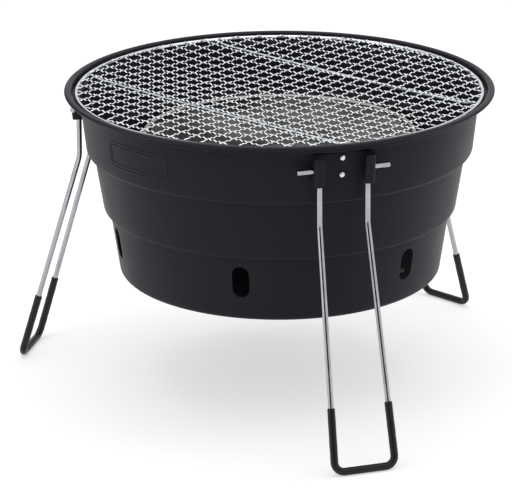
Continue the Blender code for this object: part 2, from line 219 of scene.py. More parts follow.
def bowl_profile():
    """Radius and height of the bowl's outer side, from the middle of its floor up and round the lip.

    The lip is an oval. The riser from the ledge meets its underside, and its end is tucked inside the
    riser.
    """
    vent_top = VENT_HEIGHT + VENT_HALF_STRAIGHT + VENT_HALF_WIDTH + VENT_MARGIN
    vent_foot = VENT_HEIGHT - VENT_HALF_STRAIGHT - VENT_HALF_WIDTH - VENT_MARGIN
    # Each corner's band, height and bend, and the longest step in mm on the run up to it.
    places = [(2, BAND_ENDS[3], FLOOR_BEND, 15), (2, vent_foot, 0, 4), (2, vent_top, 0, 1.25),
              (2, BAND_ENDS[2], STEP_INNER_BEND, 4), (1, BAND_ENDS[2], STEP_BEND, 2),
              (1, BAND_ENDS[1], STEP_INNER_BEND, 7), (0, BAND_ENDS[1], STEP_BEND, 2),
              (0, BAND_ENDS[0], NECK_BEND, 7)]
    turn = np.linspace(*LIP_TURN, LIP_POINTS)
    lip = np.stack([RIM_RADIUS - LIP_HALF_WIDTH + LIP_HALF_WIDTH * np.cos(turn),
                    RIM_TOP - LIP_HALF_HEIGHT + LIP_HALF_HEIGHT * np.sin(turn)], -1)
    corners = [(0, BOWL_FLOOR)] + [(band_radius(band, height), height) for band, height, _, _ in places]
    corners += [(RIM_RADIUS - LEDGE_INSET, BAND_ENDS[0]), lip[0]]
    bends = [bend for _, _, bend, _ in places] + [LEDGE_BEND]
    steps = [step * MM for _, _, _, step in places] + [3 * MM, 1.5 * MM]
    wall = bent_path(corners, bends, steps, 5)
    return np.concatenate([wall, lip[1:]])


profile = bowl_profile()
sector = math.pi / VENT_COUNT
stretch_ends = (-sector, -VENT_HALF_ANGLE, VENT_HALF_ANGLE, sector)
from_vent = np.concatenate([np.linspace(start, end, COLUMNS_PER_STRETCH, endpoint=False)
                            for start, end in zip(stretch_ends, stretch_ends[1:])])
from_vent = np.tile(from_vent, VENT_COUNT)
vent_angle = np.repeat((2 * np.arange(VENT_COUNT) + 1) * sector, len(from_vent) // VENT_COUNT)
wall_radius, wall_height = profile[:, :1], profile[:, 1:]
arc = wall_radius * from_vent
rise = wall_height - VENT_HEIGHT + 0 * arc
bowl_quads, new_arc, new_rise = punch(arc, rise, VENT_HALF_WIDTH, VENT_HALF_STRAIGHT, True)
slid_radius = wall_radius + BAND_TAPERS[2] * (new_rise - rise)
slid_angle = vent_angle + from_vent + (new_arc - arc) / np.maximum(slid_radius, MM)
fire_bowl = skin("pressed_fire_bowl", around_axis(slid_radius, slid_angle, wall_height + new_rise - rise),
                 kept=bowl_quads)
thicken(fire_bowl, BOWL_SHEET)


def linear(hex_colour):
    """An sRGB hex colour as linear RGBA: a straight line near black, and a power of 2.4 above it."""
    channels = np.array([int(hex_colour[place:place + 2], 16) for place in (1, 3, 5)]) / 255
    curved = ((channels + 0.055) / 1.055) ** 2.4
    return (*np.where(channels <= 0.04045, channels / 12.92, curved), 1.0)


def add_node(tree, kind, inputs=None, **settings):
    """Adds a node with its settings. Each input is a plain value, or another node's output to link."""
    made = tree.nodes.new(kind)
    for setting, value in settings.items():
        setattr(made, setting, value)
    for socket, value in (inputs or {}).items():
        if isinstance(value, bpy.types.NodeSocket):
            tree.links.new(value, made.inputs[socket])
        else:
            made.inputs[socket].default_value = value
    return made


def new_material(name, **shader_values):
    """A named Principled material: values that are the same all over go on the shader's own sockets."""
    material = bpy.data.materials.new(name)
    material.use_nodes = True
    shader = material.node_tree.nodes["Principled BSDF"]
    for socket, value in shader_values.items():
        shader.inputs[socket.replace("_", " ")].default_value = value
    return material, material.node_tree, shader


def frequency(size_mm):
    """Scale of a texture on coordinates in metres: a thousand over the size of its features in mm."""
    return 1000 / size_mm


# Stoving enamel, sprayed thin on steel: a satin black. The trace of violet in its colours and in its sheen
# is a painted tint, which stands in for bluish light mirrored at the bowl's sides. The spray leaves a faint
# orange peel, and handling leaves slightly duller and shinier patches.
# Specular Tint gives the sheen a painted violet tint, in place of bluish light.
enamel, tree, shader = new_material("satin_black_stoving_enamel", Specular_IOR_Level=0.12,
                                    Specular_Tint=linear("#dccff2"))
place = add_node(tree, "ShaderNodeTexCoord").outputs["Object"]
patches = add_node(tree, "ShaderNodeTexNoise", {"Vector": place, "Scale": frequency(60), "Detail": 4.0})
speckle = add_node(tree, "ShaderNodeTexNoise", {"Vector": place, "Scale": frequency(1.1), "Detail": 2.0})
shade = add_node(tree, "ShaderNodeMix", {0: patches.outputs["Fac"], 6: linear("#29262a"),
                                         7: linear("#2e2b31")}, data_type="RGBA")
tree.links.new(shade.outputs[2], shader.inputs["Base Color"])
dull = add_node(tree, "ShaderNodeMapRange", {"Value": patches.outputs["Fac"], "From Min": 0.3,
                                             "From Max": 0.7, "To Min": 0.40, "To Max": 0.50})
tree.links.new(dull.outputs["Result"], shader.inputs["Roughness"])
peel = add_node(tree, "ShaderNodeBump", {"Height": speckle.outputs["Fac"], "Strength": 0.35,
                                         "Distance": 0.05 * MM})
tree.links.new(peel.outputs["Normal"], shader.inputs["Normal"])


def fit(piece, material, body, slot, *nodes):
    """Gives a piece its finish and the body it moves with, and hides the nodes it stands for; slot is not
    used.
    """
    piece.data.materials.append(material)
    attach(piece, body)
    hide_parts(*nodes)


fit(fire_bowl, enamel, "bowl", "black_enamel", "fire_bowl")

# Panel frame: two raised lines pressed into the upper band on the left, one inside the other, round a plain
# panel. They are part of the bowl's sheet and carry the same enamel.

PANEL_ANGLE = math.radians(-61)
PANEL_HEIGHT = RIM_TOP - 32 * MM
PANEL_LINES = ((74 * MM, 22.5 * MM, 5.5 * MM), (68 * MM, 16.5 * MM, 2.5 * MM))
LINE_HALF_WIDTH = 1.0 * MM
LINE_RISE = 0.36 * MM
LINE_SIDES = 10


def raised_line(width, height, corner):
    """A rounded rectangle laid on the wall, with an oval section that stands half out of it.

    The outline's x runs round the wall and its y up the wall. The section's points are laid off along the
    outline's own normal and along the wall's outward direction.
    """
    half = np.array([width, height]) / 2
    signs = np.array([(0, -1), (1, -1), (1, 1), (-1, 1), (-1, -1), (0, -1)])
    outline = bent_path(signs * half, [corner] * 4, [3 * MM] * 5, 6)[:-1]
    tangent = np.roll(outline, -1, 0) - np.roll(outline, 1, 0)
    tangent /= np.linalg.norm(tangent, axis=1, keepdims=True)
    turn = np.linspace(0, 2 * math.pi, LINE_SIDES, endpoint=False)
    normal = np.stack([tangent[:, 1], -tangent[:, 0]], -1)
    laid = outline[:, None] + LINE_HALF_WIDTH * np.cos(turn)[:, None] * normal[:, None]
    level = PANEL_HEIGHT + laid[..., 1]
    radius = band_radius(0, level) + LINE_RISE * np.sin(turn)
    return around_axis(radius, PANEL_ANGLE + laid[..., 0] / band_radius(0, PANEL_HEIGHT), level)


for number, size in enumerate(PANEL_LINES, 1):
    frame_line = skin(f"panel_line_{number}", raised_line(*size)[:, ::-1], closed_rows=True)
    frame_line.data.materials.append(enamel)
    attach(frame_line, "bowl")

# Leg brackets: three channels folded from 1.2 mm strip, with two ears that are pierced for the leg's pins
# and two lips that keep the wire in. Each is riveted flat on the upper band, below the bowl's lip, and
# enamelled like the bowl.

STATIONS = {"front": 0.0, "right": 2 * math.pi / 3, "left": 4 * math.pi / 3}
joints = {joint["name"]: joint for joint in frame["record"]["behaviour"]["joints"]}
PIVOT = np.array(joints["leg_front_hinge"]["pos_m"]) - BOWL_AXIS
BRACKET_TILT = math.atan(BAND_TAPERS[0])
BRACKET_HALF_WIDTH = 25.0 * MM
BRACKET_SHEET = 1.2 * MM
BRACKET_BACK = 4.2 * MM
BRACKET_FRONT = 5.48 * MM
BRACKET_LIP = 7.7 * MM
BRACKET_TOP = 12.3 * MM
BRACKET_FOOT = -12.7 * MM
BRACKET_BEND = 1.7 * MM
BRACKET_LIP_CORNER = 1.3 * MM
BRACKET_ROWS = 44
PIN_HOLE_RADIUS = 3.0 * MM


def at_station(points, angle):
    """Points of the front station, measured from the bowl's axis, turned about that axis to another one."""
    x, y, z = np.moveaxis(np.asarray(points), -1, 0)
    along = x * math.cos(angle) - y * math.sin(angle)
    across = x * math.sin(angle) + y * math.cos(angle)
    return BOWL_AXIS + np.stack([along, across, z], -1)


def on_bracket(points):
    """Points measured from the pivot, square to the tilted wall, as points of the front station."""
    x, y, z = np.moveaxis(np.asarray(points), -1, 0)
    tilt_y = y * math.cos(BRACKET_TILT) - z * math.sin(BRACKET_TILT)
    tilt_z = y * math.sin(BRACKET_TILT) + z * math.cos(BRACKET_TILT)
    return PIVOT + np.stack([x, tilt_y, tilt_z], -1)


def bracket_sheet():
    """The channel's outer side: its folded outline, seen from above, carried up the bracket's height.

    The height is drawn in towards the ends of the lips along a quarter circle, which rounds their corners.
    """
    reach = BRACKET_HALF_WIDTH
    lip = BRACKET_HALF_WIDTH - BRACKET_LIP
    finer = lip + BRACKET_LIP / 2 - BRACKET_LIP_CORNER
    half = [(lip, -BRACKET_FRONT), (finer, -BRACKET_FRONT), (reach, -BRACKET_FRONT), (reach, BRACKET_BACK)]
    corners = [(-x, y) for x, y in half] + half[::-1]
    bends = (0, BRACKET_BEND, BRACKET_BEND, BRACKET_BEND, BRACKET_BEND, 0)
    steps = np.array((0.35, 1, 0.6, 2, 0.6, 1, 0.35)) * MM
    plan = bent_path(corners, bends, steps, 5)
    length = np.concatenate([[0], np.cumsum(np.linalg.norm(np.diff(plan, axis=0), axis=1))])
    from_end = np.minimum(length, length[-1] - length)
    inset = np.maximum(BRACKET_LIP_CORNER - from_end, 0)
    drawn = BRACKET_LIP_CORNER - np.sqrt(BRACKET_LIP_CORNER ** 2 - inset ** 2)
    share = np.linspace(0, 1, BRACKET_ROWS)[:, None]
    height = (BRACKET_FOOT + drawn) * (1 - share) + (BRACKET_TOP - drawn) * share
    from_hole = np.where(np.abs(plan[:, 0]) > lip + BRACKET_LIP / 2, plan[:, 1], 1.0) + 0 * height
    quads, new_from_hole, new_height = punch(from_hole, height, PIN_HOLE_RADIUS, 0.0, False)
    ear = np.abs(plan[:, 0]) > reach - 1e-6
    y = np.where(ear, new_from_hole, plan[:, 1])
    x = plan[:, 0] + 0 * height
    return np.stack([x, y, np.where(ear, new_height, height)], -1), quads


sheet, bracket_quads = bracket_sheet()
for name, angle in STATIONS.items():
    bracket = skin(f"folded_bracket_{name}", at_station(on_bracket(sheet), angle), closed_columns=False,
                   kept=bracket_quads)
    thicken(bracket, BRACKET_SHEET)
    fit(bracket, enamel, "bowl", "black_enamel", f"leg_bracket_{name}")

# Rivets: two domed steel rivets for each bracket, pushed through the bracket's base and the bowl's wall and
# clenched inside. They are set after enamelling, so their heads are bare and bright.

RIVET_SEAT = BRACKET_BACK - BRACKET_SHEET
RIVET_HEIGHTS = {"upper": 8.4 * MM, "lower": -6.7 * MM}
RIVET_HEAD = 2.45 * MM
RIVET_DOME = 1.0 * MM
RIVET_SHANK = 1.5 * MM
RIVET_TAIL = 2.6 * MM
RIVET_GRIP = 2.6 * MM
RIVET_TAIL_DEPTH = 0.9 * MM
RIVET_SIDES = 28

# Bright drawn steel of a set rivet: a polished dome with a faint hammered mottle.
rivet_steel, tree, shader = new_material("bright_rivet_steel", Metallic=1.0)
place = add_node(tree, "ShaderNodeTexCoord").outputs["Object"]
mottle = add_node(tree, "ShaderNodeTexNoise", {"Vector": place, "Scale": frequency(1.4), "Detail": 3.0})
tone = add_node(tree, "ShaderNodeMix", {0: mottle.outputs["Fac"], 6: linear("#c9c8c5"),
                                        7: linear("#ecebe8")}, data_type="RGBA")
tree.links.new(tone.outputs[2], shader.inputs["Base Color"])
gloss = add_node(tree, "ShaderNodeMapRange", {"Value": mottle.outputs["Fac"], "To Min": 0.18,
                                              "To Max": 0.36})
tree.links.new(gloss.outputs["Result"], shader.inputs["Roughness"])
dents = add_node(tree, "ShaderNodeBump", {"Height": mottle.outputs["Fac"], "Strength": 0.3,
                                          "Distance": 0.1 * MM})
tree.links.new(dents.outputs["Normal"], shader.inputs["Normal"])


def rivet_points(height):
    """A profile turned about an axis square to the wall: quarter-oval dome, shank and quarter-oval tail."""
    quarter = np.linspace(0, math.pi / 2, 9)
    dome = np.stack([RIVET_HEAD * np.sin(quarter), RIVET_DOME * np.cos(quarter)], -1)
    shank = [(RIVET_SHANK, 0), (RIVET_SHANK, -RIVET_GRIP)]
    tail = np.stack([RIVET_TAIL * np.cos(quarter), -RIVET_GRIP - RIVET_TAIL_DEPTH * np.sin(quarter)], -1)
    turned = np.concatenate([dome, shank, tail])
    turned[-1, 0] = 0
    turn = np.linspace(0, 2 * math.pi, RIVET_SIDES, endpoint=False)
    radius, depth = turned[:, :1], turned[:, 1:]
    x, z = radius * np.sin(turn), radius * np.cos(turn)
    return np.stack([x, RIVET_SEAT - depth + 0 * turn, height + z], -1)


for name, angle in STATIONS.items():
    for place_name, height in RIVET_HEIGHTS.items():
        points = at_station(on_bracket(rivet_points(height)), angle)
        rivet = skin(f"domed_rivet_{name}_{place_name}", points)
        fit(rivet, rivet_steel, "bowl", "rivet_steel", f"rivet_{name}_{place_name}")

# Legs: each is one length of 4.8 mm steel wire, bent cold into a long U with a kink below the bracket. Its
# two ends turn outwards as pins, which spring into the bracket's ears. The wire is bright plated before
# bending.

WIRE_RADIUS = 2.4 * MM
LEG_HALF_WIDTH = 20.9 * MM
LEG_FLARE = 5.7 * MM
PIN_REACH = 40.25 * MM
PIN_CHAMFER = 0.5 * MM
KINK = np.array([LEG_HALF_WIDTH, PIVOT[1] - 0.8 * MM, RIM_TOP - 72 * MM])
FOOT_RADIUS = RIM_RADIUS + 50.7 * MM
SLEEVE_RADIUS = 3.3 * MM
FOOT_HEIGHT = SLEEVE_RADIUS + 0.05 * MM
PIN_BEND = 2.6 * MM
KINK_BEND = 30 * MM
FOOT_BEND = 8.5 * MM
FOOT = np.array([LEG_HALF_WIDTH + LEG_FLARE, -FOOT_RADIUS, FOOT_HEIGHT])


def carry(path, section, upward, scale=1.0):
    """A section carried along a path, one ring of points for each path point.

    Each (side, up) point of the section is laid off square to the path: up is what is left of the given
    direction once its part along the path is taken off, and side is square to both.
    """
    tangent = np.gradient(path, axis=-2)
    tangent /= np.linalg.norm(tangent, axis=-1, keepdims=True)
    up = upward - (tangent @ upward)[..., None] * tangent
    up /= np.linalg.norm(up, axis=-1, keepdims=True)
    side = np.cross(up, tangent)
    laid = section[:, :1] * side[..., None, :] + section[:, 1:] * up[..., None, :]
    return path[..., None, :] + np.broadcast_to(scale, path.shape[:-1])[..., None, None] * laid


def capped(rings):
    """Closes both ends of a carried section with a pole at the middle of its first and last ring."""
    first, last = rings[..., :1, :, :], rings[..., -1:, :, :]
    poles = [np.broadcast_to(end.mean(-2, keepdims=True), end.shape) for end in (first, last)]
    return np.concatenate([poles[0], rings, poles[1]], -3)


def round_section(radius, sides):
    """Points of a circle as (side, up) pairs, counter-clockwise."""
    turn = np.linspace(0, 2 * math.pi, sides, endpoint=False)
    return radius * np.stack([np.cos(turn), np.sin(turn)], -1)


def lengths_along(path, rings, girth):
    """Distance along the path and round the section for each ring point, with the seam's far side added."""
    run = np.concatenate([[0], np.cumsum(np.linalg.norm(np.diff(path, axis=0), axis=1))])
    run = np.concatenate([[0], run, run[-1:]])[:, None]
    turn = np.linspace(0, girth, rings + 1)
    return np.stack(np.broadcast_arrays(run, turn), -1)


MIRROR = np.array([-1.0, 1.0, 1.0])
pin = np.array([LEG_HALF_WIDTH, PIVOT[1], PIVOT[2]])
pin_end = np.array([PIN_REACH, PIVOT[1], PIVOT[2]])
half_leg = [pin_end, pin_end - (PIN_CHAMFER, 0, 0), pin, KINK, FOOT]
leg_corners = half_leg + [corner * MIRROR for corner in reversed(half_leg)]
leg_bends = (0, PIN_BEND, KINK_BEND, FOOT_BEND, FOOT_BEND, KINK_BEND, PIN_BEND, 0)
leg_steps = np.array((1, 3, 6, 8, 6, 8, 6, 3, 1)) * MM
leg_path = bent_path(leg_corners, leg_bends, leg_steps, 10)
leg_ends = np.ones(len(leg_path))
leg_ends[[0, -1]] = 1 - PIN_CHAMFER / WIRE_RADIUS
OUTWARD = np.array([0.0, -1.0, 0.0])
WIRE_SIDES = 20
leg_rings = capped(carry(leg_path, round_section(WIRE_RADIUS, WIRE_SIDES), OUTWARD, leg_ends))
leg_uv = lengths_along(leg_path, WIRE_SIDES, 2 * math.pi * WIRE_RADIUS)


def plated_wire(name, deep, bright, smoothest, dullest):
    """Bright plating on drawn wire: fine lines along it from the die, and cloudy patches in the plating.

    The lines are noise that is drawn out sixty times along the wire. They are about 0.35 mm wide, several
    times the real width, so that they show.
    """
    material, tree, shader = new_material(name, Metallic=1.0)
    run = add_node(tree, "ShaderNodeUVMap", uv_map="length_and_girth").outputs["UV"]
    drawn = add_node(tree, "ShaderNodeMapping", {"Vector": run, "Scale": (1 / 60, 1.0, 1.0)})
    die_lines = add_node(tree, "ShaderNodeTexNoise", {"Vector": drawn.outputs["Vector"],
                                                      "Scale": frequency(0.35), "Detail": 2.0})
    place = add_node(tree, "ShaderNodeTexCoord").outputs["Object"]
    clouds = add_node(tree, "ShaderNodeTexNoise", {"Vector": place, "Scale": frequency(9), "Detail": 4.0})
    tone = add_node(tree, "ShaderNodeMix", {0: clouds.outputs["Fac"], 6: linear(deep), 7: linear(bright)},
                    data_type="RGBA")
    tree.links.new(tone.outputs[2], shader.inputs["Base Color"])
    gloss = add_node(tree, "ShaderNodeMapRange", {"Value": clouds.outputs["Fac"], "From Min": 0.3,
                                                  "From Max": 0.7, "To Min": smoothest, "To Max": dullest})
    tree.links.new(gloss.outputs["Result"], shader.inputs["Roughness"])
    lines = add_node(tree, "ShaderNodeBump", {"Height": die_lines.outputs["Fac"], "Strength": 0.25,
                                              "Distance": 0.04 * MM})
    tree.links.new(lines.outputs["Normal"], shader.inputs["Normal"])
    return material


leg_plating = plated_wire("bright_plated_leg_wire", "#94979d", "#babcc0", 0.10, 0.20)
for name, angle in STATIONS.items():
    leg = skin(f"bent_wire_leg_{name}", at_station(leg_rings, angle), uv=leg_uv)
    fit(leg, leg_plating, f"leg_{name}", "plated_leg_wire", f"leg_wire_{name}")

# Foot sleeves: the bottom of each leg is dipped by hand in black vinyl, 54 to 62 mm deep, so that it grips
# the table and doesn't scratch it. The dip follows the bends and is a little uneven in thickness.

SLEEVE_LENGTHS = {"front": 54 * MM, "right": 58 * MM, "left": 62 * MM}
SLEEVE_BORE = WIRE_RADIUS + 0.05 * MM
SLEEVE_EDGE = 0.8 * MM
SLEEVE_WAVE = 0.045 * MM
SLEEVE_WAVE_LENGTHS = (17 * MM, 11 * MM)
WAVE_START = 2 * MM
WAVE_GROWTH = 6 * MM
SLEEVE_SIDES = 24


def dipped_sleeve(length):
    """Rings of the dip's outside down one wire, along the crossbar and up the other, then back in the bore.

    The wall thins to about a third over its edge along a parabola. Away from the table two sine waves of
    unlike length add to its thickness.
    """
    top = FOOT + (KINK - FOOT) / np.linalg.norm(KINK - FOOT) * length
    path = bent_path([top, FOOT, FOOT * MIRROR, top * MIRROR], (FOOT_BEND, FOOT_BEND), [1.2 * MM] * 3, 12)
    run = np.concatenate([[0], np.cumsum(np.linalg.norm(np.diff(path, axis=0), axis=1))])
    from_end = np.minimum(run, run[-1] - run)
    edge = 1 - np.maximum(1 - from_end / SLEEVE_EDGE, 0) ** 2
    long_wave, short_wave = SLEEVE_WAVE_LENGTHS
    wave = np.sin(run * 2 * math.pi / long_wave) + 0.7 * np.sin(run * 2 * math.pi / short_wave + 1)
    off_table = np.clip((np.abs(path[:, 2] - FOOT_HEIGHT) - WAVE_START) / WAVE_GROWTH, 0, 1)
    wall = (SLEEVE_RADIUS - SLEEVE_BORE) * (0.35 + 0.65 * edge) + SLEEVE_WAVE * wave * off_table
    outside = carry(path, round_section(1.0, SLEEVE_SIDES), OUTWARD, SLEEVE_BORE + wall)
    bore = carry(path, round_section(SLEEVE_BORE, SLEEVE_SIDES), OUTWARD)
    return np.concatenate([outside, bore[::-1]])


# Plasticised vinyl from a dip tank: a soft black with a broad sheen and slight runs and dimples.
vinyl, tree, shader = new_material("dipped_black_vinyl", Specular_IOR_Level=0.3)
place = add_node(tree, "ShaderNodeTexCoord").outputs["Object"]
runs = add_node(tree, "ShaderNodeTexNoise", {"Vector": place, "Scale": frequency(7), "Detail": 3.0})
tone = add_node(tree, "ShaderNodeMix", {0: runs.outputs["Fac"], 6: linear("#0c0c0d"), 7: linear("#19191b")},
                data_type="RGBA")
tree.links.new(tone.outputs[2], shader.inputs["Base Color"])
gloss = add_node(tree, "ShaderNodeMapRange", {"Value": runs.outputs["Fac"], "To Min": 0.26, "To Max": 0.46})
tree.links.new(gloss.outputs["Result"], shader.inputs["Roughness"])
dimples = add_node(tree, "ShaderNodeBump", {"Height": runs.outputs["Fac"], "Strength": 0.5,
                                            "Distance": 0.25 * MM})
tree.links.new(dimples.outputs["Normal"], shader.inputs["Normal"])

for name, angle in STATIONS.items():
    sleeve = skin(f"dipped_foot_{name}", at_station(dipped_sleeve(SLEEVE_LENGTHS[name]), angle),
                  closed_rows=True)
    fit(sleeve, vinyl, f"leg_{name}", "foot_vinyl", f"foot_sleeve_{name}")

# Charcoal tray: a round dish pressed from bare steel sheet, with a low upright lip whose edge is turned
# out. It stands inside the bowl on three strips that are bent into feet and spot-welded under it.

tray_low, tray_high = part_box("charcoal_tray")
TRAY_RADIUS = (tray_high.x - tray_low.x) / 2
TRAY_TOP = tray_high.z
TRAY_UNDERSIDE = tray_low.z
TRAY_SHEET = 1.2 * MM
TRAY_BEND = 3.0 * MM
TRAY_EDGE = 2.2 * MM
TRAY_EDGE_BEND = 0.6 * MM
TRAY_SIDES = 180

lip_radius = TRAY_RADIUS - TRAY_EDGE
edge_underside = TRAY_TOP - TRAY_SHEET
tray_side = bent_path([(0, TRAY_UNDERSIDE), (lip_radius, TRAY_UNDERSIDE), (lip_radius, edge_underside),
                       (TRAY_RADIUS, edge_underside)],
                      [TRAY_BEND, TRAY_EDGE_BEND], [8 * MM, 1 * MM, 0.6 * MM], 8)
tray_turn = np.linspace(0, 2 * math.pi, TRAY_SIDES, endpoint=False)
charcoal_tray = skin("pressed_charcoal_tray", around_axis(tray_side[:, :1], tray_turn, tray_side[:, 1:]))
thicken(charcoal_tray, TRAY_SHEET)

# Cold-rolled steel sheet, bare and slightly oiled: long rolling streaks one way, and grey stains of old oil
# that darken it in broad soft-edged patches. The whole sheet is also darker towards the left and lighter
# towards the right.
# A band round the top of the lip is painted light grey, a painted highlight along its edge.
LIGHTER_PER_METRE_RIGHT = 1.3
# Heights of the painted highlight round the top of the lip: it starts at the first and is full at the
# second.
LIP_HIGHLIGHT_FROM = TRAY_TOP - 2.4 * MM
LIP_HIGHLIGHT_FULLY = TRAY_TOP - 1.1 * MM
sheet_steel, tree, shader = new_material("bare_rolled_steel_sheet", Metallic=1.0)
place = add_node(tree, "ShaderNodeTexCoord").outputs["Object"]
rolled = add_node(tree, "ShaderNodeMapping", {"Vector": place, "Rotation": (0, 0, math.radians(20)),
                                              "Scale": (1 / 40, 1.0, 1.0)})
streaks = add_node(tree, "ShaderNodeTexNoise", {"Vector": rolled.outputs["Vector"], "Scale": frequency(0.8),
                                                "Detail": 3.0})
stains = add_node(tree, "ShaderNodeTexNoise", {"Vector": place, "Scale": frequency(55), "Detail": 6.0})
axes = add_node(tree, "ShaderNodeSeparateXYZ", {"Vector": place})
# The tone leans steadily darker towards the left, across the stain patches.
leaning = add_node(tree, "ShaderNodeMath", {0: axes.outputs["X"], 1: LIGHTER_PER_METRE_RIGHT,
                                            2: stains.outputs["Fac"]}, operation="MULTIPLY_ADD")
spread = add_node(tree, "ShaderNodeMapRange", {"Value": leaning.outputs[0], "From Min": 0.35,
                                               "From Max": 0.65})
stains_and_lean = add_node(tree, "ShaderNodeMix", {0: spread.outputs["Result"], 6: linear("#201f1e"),
                                           7: linear("#757370")}, data_type="RGBA")
# Painted highlight: the top of the lip is mixed towards light grey.
lip_highlight = add_node(tree, "ShaderNodeMapRange", {"Value": axes.outputs["Z"], "From Min": LIP_HIGHLIGHT_FROM,
                                             "From Max": LIP_HIGHLIGHT_FULLY})
tone = add_node(tree, "ShaderNodeMix", {0: lip_highlight.outputs["Result"], 6: stains_and_lean.outputs[2],
                                        7: linear("#b2b0ac")}, data_type="RGBA")
tree.links.new(tone.outputs[2], shader.inputs["Base Color"])
gloss = add_node(tree, "ShaderNodeMapRange", {"Value": streaks.outputs["Fac"], "To Min": 0.42,
                                              "To Max": 0.62})
tree.links.new(gloss.outputs["Result"], shader.inputs["Roughness"])
grooves = add_node(tree, "ShaderNodeBump", {"Height": streaks.outputs["Fac"], "Strength": 0.25,
                                            "Distance": 0.05 * MM})
tree.links.new(grooves.outputs["Normal"], shader.inputs["Normal"])
fit(charcoal_tray, sheet_steel, "tray", "tray_steel", "charcoal_tray")

STRIP_HALF_WIDTH = 6 * MM
STRIP_SHEET = 1.5 * MM
STRIP_BEND = 1.6 * MM
STRIP_RADIUS = TRAY_RADIUS - 24 * MM
STRIP_TOE = 16 * MM
STRIP_TAB = 20 * MM
STRIP_GAP = 0.3 * MM


def strip_section():
    """A flat strip with its long edges slightly rounded: (side, up) points, counter-clockwise."""
    edge = STRIP_SHEET / 2
    turn = np.linspace(-math.pi / 2, math.pi / 2, 5)
    right = np.stack([STRIP_HALF_WIDTH - edge + edge * np.cos(turn), edge * np.sin(turn)], -1)
    return np.concatenate([right, -right])


strip_foot = BOWL_FLOOR + BOWL_SHEET + STRIP_GAP + STRIP_SHEET / 2
strip_head = TRAY_UNDERSIDE - STRIP_GAP - STRIP_SHEET / 2
strip_middle = STRIP_RADIUS + STRIP_SHEET / 2
strip_corners = [(0, -strip_middle - STRIP_TOE, strip_foot), (0, -strip_middle, strip_foot),
                 (0, -strip_middle, strip_head), (0, STRIP_TAB - strip_middle, strip_head)]
strip_path = bent_path(strip_corners, (STRIP_BEND, STRIP_BEND), [2 * MM, 10 * MM, 2 * MM], 6)
strip_up = np.array([0.0, -math.sqrt(0.5), math.sqrt(0.5)])
strip_rings = capped(carry(strip_path, strip_section(), strip_up))
for number in (1, 2, 3):
    turn = math.pi * (2 * number - 1) / 3
    strip = skin(f"bent_strip_foot_{number}", at_station(strip_rings, turn))
    fit(strip, sheet_steel, "tray", "tray_steel", f"tray_foot_{number}")

# Grate hoop and bars: a ring of 4 mm wire, butt-welded, that drops inside the bowl's lip and rests on the
# ledge below it, with two wires across its underside that keep the mesh from sagging. All bright plated.

hoop_low, hoop_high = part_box("grate_hoop")
HOOP_WIRE = 2.0 * MM
HOOP_RADIUS = (hoop_high.x - hoop_low.x) / 2 - HOOP_WIRE
HOOP_HEIGHT = (hoop_low.z + hoop_high.z) / 2
HOOP_RINGS = 300
GRATE_TURN = math.radians(30)
BAR_OFFSET = 81 * MM
BAR_WIRE = 1.2 * MM
BAR_DROP = 1.9 * MM
BAR_SAG = 1.6 * MM
BAR_END = 14 * MM
BAR_RINGS = 81
BAR_SIDES = 14
UP = np.array([0.0, 0.0, 1.0])

hoop_turn = np.linspace(0, 2 * math.pi, HOOP_RINGS, endpoint=False)[:, None]
hoop_section = round_section(HOOP_WIRE, BAR_SIDES)
# The wire's thickness varies by up to 3.5 percent, as two sine waves round the hoop.
lump = 1 + 0.02 * np.sin(23 * hoop_turn) + 0.015 * np.sin(57 * hoop_turn + 1)
hoop_points = around_axis(HOOP_RADIUS + lump * hoop_section[:, 0], hoop_turn,
                          HOOP_HEIGHT + lump * hoop_section[:, 1])
hoop_run = np.linspace(0, 2 * math.pi * HOOP_RADIUS, len(hoop_turn) + 1)[:, None]
hoop_girth = np.linspace(0, 2 * math.pi * HOOP_WIRE, BAR_SIDES + 1)
hoop_uv = np.stack(np.broadcast_arrays(hoop_run, hoop_girth), -1)
grate_plating = plated_wire("bright_plated_grate_wire", "#c2c7cb", "#e6e9ec", 0.18, 0.30)
hoop = skin("welded_grate_hoop", hoop_points[:, ::-1], closed_rows=True, uv=hoop_uv)
fit(hoop, grate_plating, "grate", "plated_grate_wire", "grate_hoop")

bar_half = math.sqrt((HOOP_RADIUS - HOOP_WIRE) ** 2 - (BAR_OFFSET + BAR_WIRE) ** 2)
bar_run = np.linspace(-bar_half, bar_half, BAR_RINGS)
bar_from_end = np.clip((bar_half - np.abs(bar_run)) / BAR_END, 0, 1)
bar_level = (HOOP_HEIGHT - BAR_DROP * bar_from_end ** 2 * (3 - 2 * bar_from_end)
             - BAR_SAG * (1 - (bar_run / bar_half) ** 2))
for number, offset in enumerate((-BAR_OFFSET, BAR_OFFSET), 1):
    bar_path = np.stack([offset + 0 * bar_run, bar_run, bar_level], -1)
    rings = capped(carry(bar_path, round_section(BAR_WIRE, BAR_SIDES), UP))
    bar = skin(f"grate_cross_bar_{number}", at_station(rings, GRATE_TURN),
               uv=lengths_along(bar_path, BAR_SIDES, 2 * math.pi * BAR_WIRE))
    fit(bar, grate_plating, "grate", "plated_grate_wire", f"grate_bar_{number}")

# Cooking mesh: 1.1 mm wires in an intermediate crimp, woven over and under at about 15 mm spacing, cut to a
# disc and welded by their ends to the top of the hoop. It hangs on the two bars and is a little warped, and
# it is bright plated after welding, with the hoop.

MESH_TURN = math.radians(31.5)
MESH_PITCHES = (15.4 * MM, 14.8 * MM)
MESH_SHIFTS = (-4.1 * MM, -2.5 * MM)
MESH_WIRE = 0.55 * MM
CRIMP_RISE = 0.5 * MM
CRIMPS_PER_PITCH = 5
MESH_LEVEL = HOOP_HEIGHT + HOOP_WIRE + 0.2 * MM
MESH_INSET = 0.8 * MM
MESH_FLAT_END = 9 * MM
MESH_HANG = 7 * MM
MESH_SIDE_WARP = 14 * MM
MESH_CORNER_WARP = 12 * MM
MESH_RINGS_PER_PITCH = 24
MESH_SIDES = 6


